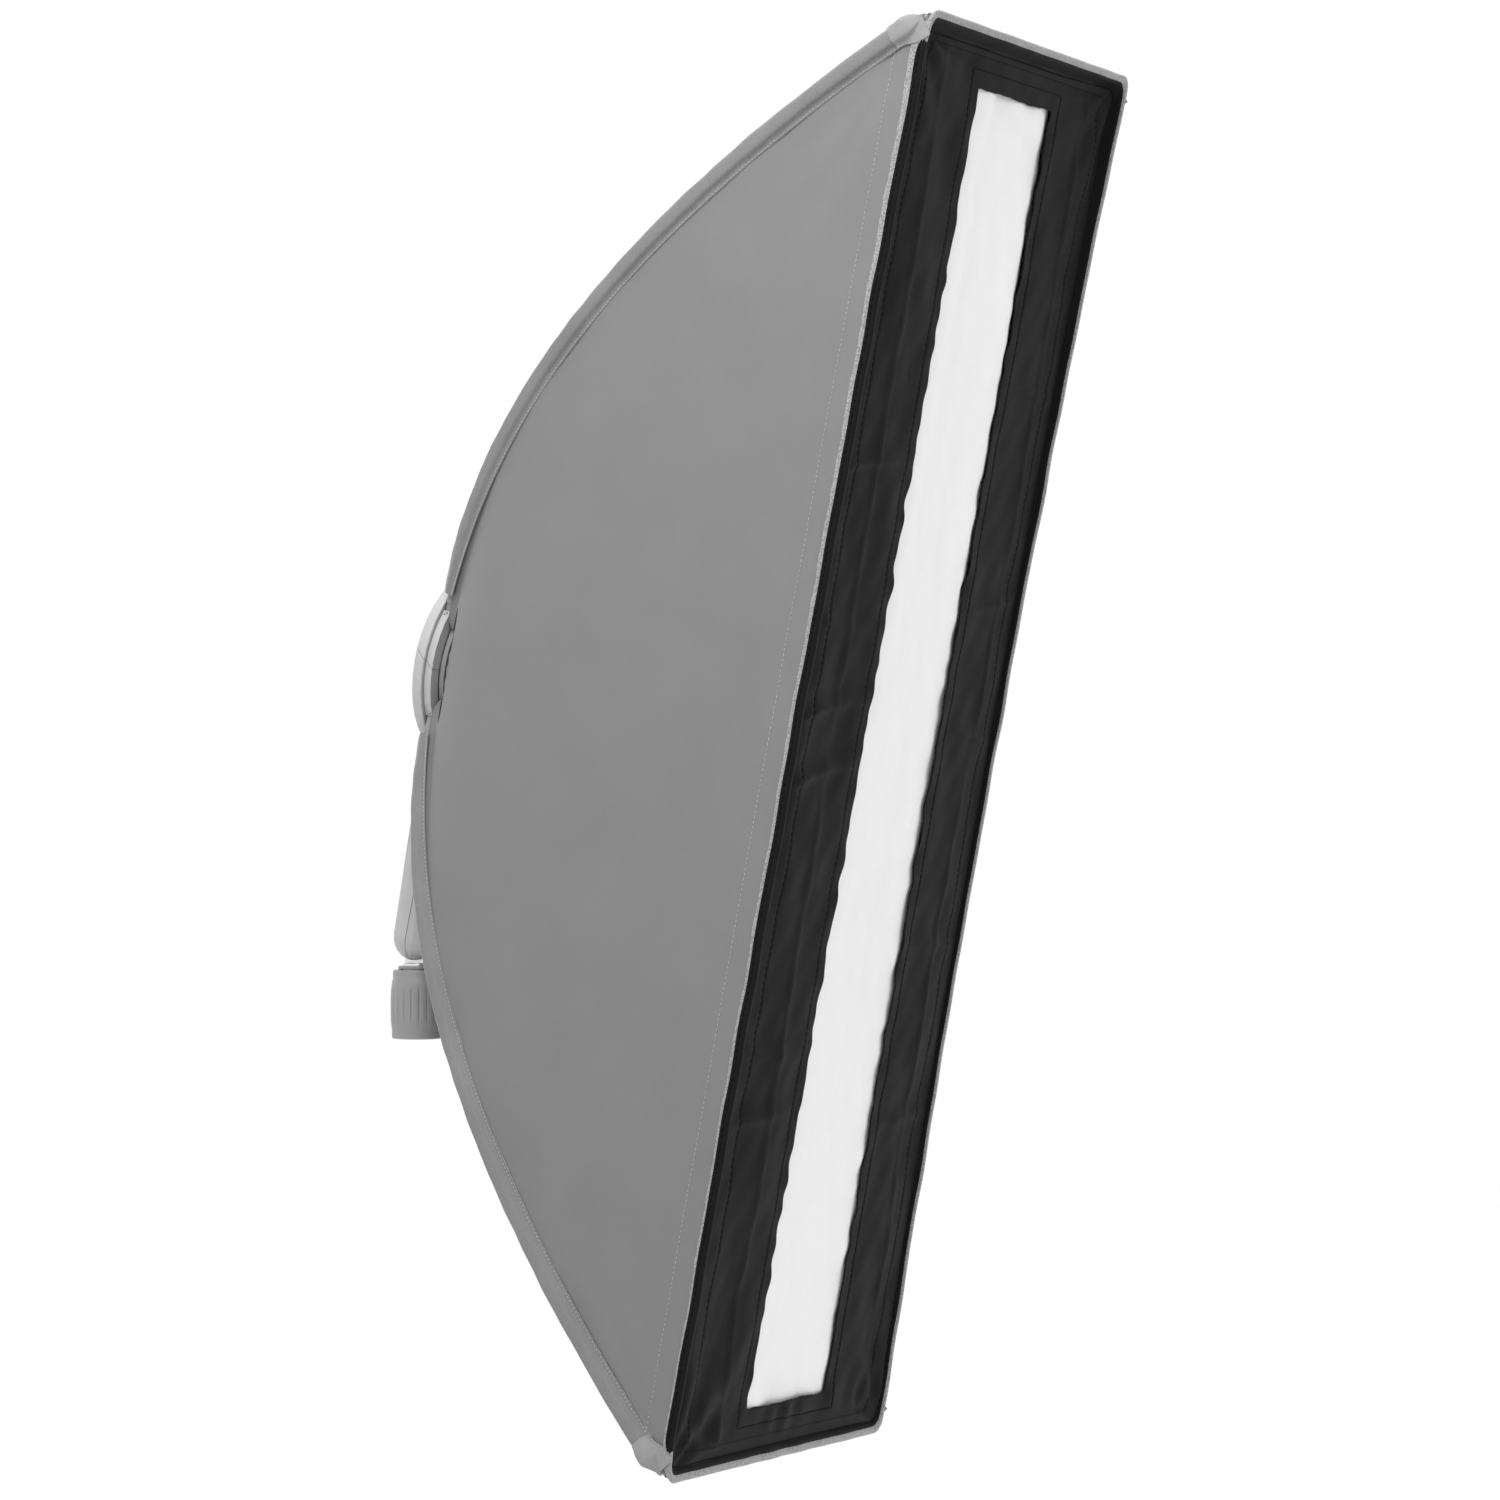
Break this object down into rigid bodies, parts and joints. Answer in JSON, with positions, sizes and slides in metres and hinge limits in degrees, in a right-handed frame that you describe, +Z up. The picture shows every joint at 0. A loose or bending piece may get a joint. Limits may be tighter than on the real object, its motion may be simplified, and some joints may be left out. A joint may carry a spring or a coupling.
{
  "type": "strip softbox",
  "caption": "Long narrow fabric softbox on a folding rod frame, with a slit front mask, a ring hub for a flash head and a tilting stand arm with a twist collar.",
  "frame": {"origin": "centre of the stand socket's mouth, where the object stands on its light stand", "axes": "+Z up the stand's spigot, -Y towards the subject (the lit front), +X to the softbox's own left"},
  "size_m": [0.299, 0.4628, 0.8807],
  "materials": {
    "hub_plastic": "moulded, satin",
    "dark_plastic": "moulded, matte",
    "arm_plastic": "moulded, satin",
    "collar_plastic": "moulded, ribbed",
    "steel": "machined",
    "bearing_plastic": "low-friction polymer",
    "rod_steel": "drawn spring steel",
    "shell_fabric": "plain-woven nylon, silver-coated inside",
    "sleeve_webbing": "tubular webbing",
    "mask_fabric": "black satin-faced nylon",
    "diffuser_fabric": "white diffusion cloth",
    "tape_fabric": "hook-and-loop tape"
  },
  "bodies": {
    "stand": {"stand_stud": "steel", "stand_socket": "dark_plastic", "spigot_collet": "dark_plastic", "collar_cap_ring": "collar_plastic"},
    "twist_collar": {"twist_collar": "collar_plastic"},
    "arm": {"arm_front_shell": "arm_plastic", "arm_rear_shell": "arm_plastic", "arm_screw_upper": "steel", "arm_screw_lower": "steel", "lug_screw": "steel", "tilt_axle": "steel", "friction_washer_left": "bearing_plastic", "friction_washer_right": "bearing_plastic", "arm_ring": "dark_plastic", "glide_ring": "bearing_plastic", "retaining_ring": "steel", "flash_plate": "steel"},
    "hub": {"rear_cover_upper": "hub_plastic", "rear_cover_lower": "hub_plastic", "rod_ring_upper": "hub_plastic", "rod_ring_lower": "hub_plastic", "ring_screw_1": "steel", "ring_screw_2": "steel", "ring_screw_3": "steel", "ring_screw_4": "steel", "front_collar": "dark_plastic", "skirt_clamp_ring": "dark_plastic", "rod_hinge_pin_upper_left": "steel", "rod_hinge_pin_upper_right": "steel", "rod_hinge_pin_lower_left": "steel", "rod_hinge_pin_lower_right": "steel", "shell_panel_left": "shell_fabric", "shell_panel_right": "shell_fabric", "front_lip_tape": "tape_fabric", "strip_mask": "mask_fabric", "front_diffuser": "diffuser_fabric", "inner_baffle": "diffuser_fabric", "rear_skirt": "shell_fabric"},
    "leaf_top_left": {"shell_panel_top_left": "shell_fabric"},
    "leaf_top_right": {"shell_panel_top_right": "shell_fabric"},
    "leaf_bottom_left": {"shell_panel_bottom_left": "shell_fabric"},
    "leaf_bottom_right": {"shell_panel_bottom_right": "shell_fabric"},
    "frame_upper_left": {"rod_socket_upper_left": "dark_plastic", "rod_upper_left": "rod_steel", "rod_cap_upper_left": "dark_plastic", "rod_sleeve_upper_left": "sleeve_webbing"},
    "frame_upper_right": {"rod_socket_upper_right": "dark_plastic", "rod_upper_right": "rod_steel", "rod_cap_upper_right": "dark_plastic", "rod_sleeve_upper_right": "sleeve_webbing"},
    "frame_lower_left": {"rod_socket_lower_left": "dark_plastic", "rod_lower_left": "rod_steel", "rod_cap_lower_left": "dark_plastic", "rod_sleeve_lower_left": "sleeve_webbing"},
    "frame_lower_right": {"rod_socket_lower_right": "dark_plastic", "rod_lower_right": "rod_steel", "rod_cap_lower_right": "dark_plastic", "rod_sleeve_lower_right": "sleeve_webbing"}
  },
  "joints": [
    {"name": "collar_turn", "type": "hinge", "parent": "stand", "child": "twist_collar", "pos_m": [0, 0, 0.022], "axis": [0, 0, 1], "range_deg": [0, 270]},
    {"name": "arm_tilt", "type": "hinge", "parent": "stand", "child": "arm", "pos_m": [0, 0, 0.067], "axis": [1, 0, 0], "range_deg": [-90, 20]},
    {"name": "softbox_turn", "type": "hinge", "parent": "arm", "child": "hub", "pos_m": [0, -0.0315, 0.24754], "axis": [0, -0.9801, -0.1987], "range_deg": [-90, 90]},
    {"name": "rod_fold_upper_left", "type": "hinge", "parent": "hub", "child": "frame_upper_left", "pos_m": [-0.046, -0.0508, 0.2773], "axis": [0.9706, -0.0479, 0.236], "range_deg": [0, 53], "deforming": ["shell_panel_left", "shell_panel_right", "front_lip_tape", "strip_mask", "front_diffuser", "inner_baffle", "rear_skirt", "shell_panel_top_left", "shell_panel_top_right", "shell_panel_bottom_left", "shell_panel_bottom_right"]},
    {"name": "rod_fold_upper_right", "type": "hinge", "parent": "hub", "child": "frame_upper_right", "pos_m": [0.046, -0.0508, 0.2773], "axis": [0.9706, 0.0479, -0.236], "range_deg": [0, 53]},
    {"name": "rod_fold_lower_left", "type": "hinge", "parent": "hub", "child": "frame_lower_left", "pos_m": [-0.046, -0.03768, 0.21262], "axis": [-0.9706, -0.0479, 0.236], "range_deg": [0, 53]},
    {"name": "rod_fold_lower_right", "type": "hinge", "parent": "hub", "child": "frame_lower_right", "pos_m": [0.046, -0.03768, 0.21262], "axis": [-0.9706, 0.0479, -0.236], "range_deg": [0, 53]},
    {"name": "panel_crease_top_left", "type": "hinge", "parent": "frame_upper_left", "child": "leaf_top_left", "pos_m": [-0.046, -0.0508, 0.2773], "axis": [-0.1949, -0.7319, 0.653], "range_deg": [0, 66]},
    {"name": "panel_crease_top_right", "type": "hinge", "parent": "frame_upper_right", "child": "leaf_top_right", "pos_m": [0.046, -0.0508, 0.2773], "axis": [-0.1949, 0.7319, -0.653], "range_deg": [0, 66]},
    {"name": "panel_crease_bottom_left", "type": "hinge", "parent": "frame_lower_left", "child": "leaf_bottom_left", "pos_m": [-0.046, -0.03768, 0.21262], "axis": [0.1949, 0.4198, 0.8864], "range_deg": [0, 66]},
    {"name": "panel_crease_bottom_right", "type": "hinge", "parent": "frame_lower_right", "child": "leaf_bottom_right", "pos_m": [0.046, -0.03768, 0.21262], "axis": [0.1949, -0.4198, -0.8864], "range_deg": [0, 66]}
  ],
  "couplings": [
    {"joint": "rod_fold_upper_right", "follows": "rod_fold_upper_left", "ratio": 1},
    {"joint": "rod_fold_lower_left", "follows": "rod_fold_upper_left", "ratio": 1},
    {"joint": "rod_fold_lower_right", "follows": "rod_fold_upper_left", "ratio": 1},
    {"joint": "panel_crease_top_left", "follows": "rod_fold_upper_left", "ratio": 1.2453},
    {"joint": "panel_crease_top_right", "follows": "rod_fold_upper_left", "ratio": 1.2453},
    {"joint": "panel_crease_bottom_left", "follows": "rod_fold_upper_left", "ratio": 1.2453},
    {"joint": "panel_crease_bottom_right", "follows": "rod_fold_upper_left", "ratio": 1.2453}
  ]
}
